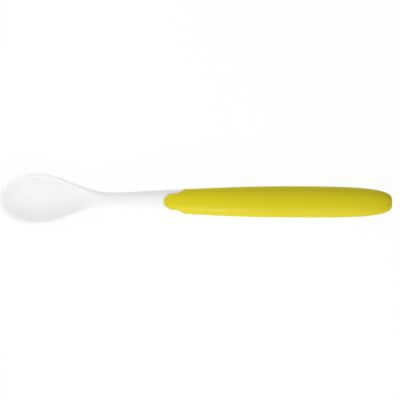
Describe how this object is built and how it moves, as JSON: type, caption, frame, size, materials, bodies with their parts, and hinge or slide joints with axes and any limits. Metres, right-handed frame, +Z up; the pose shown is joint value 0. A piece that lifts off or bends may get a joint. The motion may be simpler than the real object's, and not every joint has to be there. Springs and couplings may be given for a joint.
{
  "type": "baby spoon",
  "caption": "Long-handled weaning spoon: a shallow oval bowl and slim neck moulded in white plastic, with a soft lime grip moulded over the tang.",
  "frame": {"origin": "under the middle of the spoon, on the table that it lies on", "axes": "+X from the bowl towards the end of the handle, +Z up out of the hollow of the bowl, +Y to the left of someone who looks from the bowl to the handle"},
  "size_m": [0.175, 0.023, 0.015],
  "materials": {
    "white_plastic": "satin",
    "lime_soft_grip": "satin"
  },
  "bodies": {
    "root": {"spoon_core": "white_plastic", "soft_grip": "lime_soft_grip"}
  },
  "joints": []
}
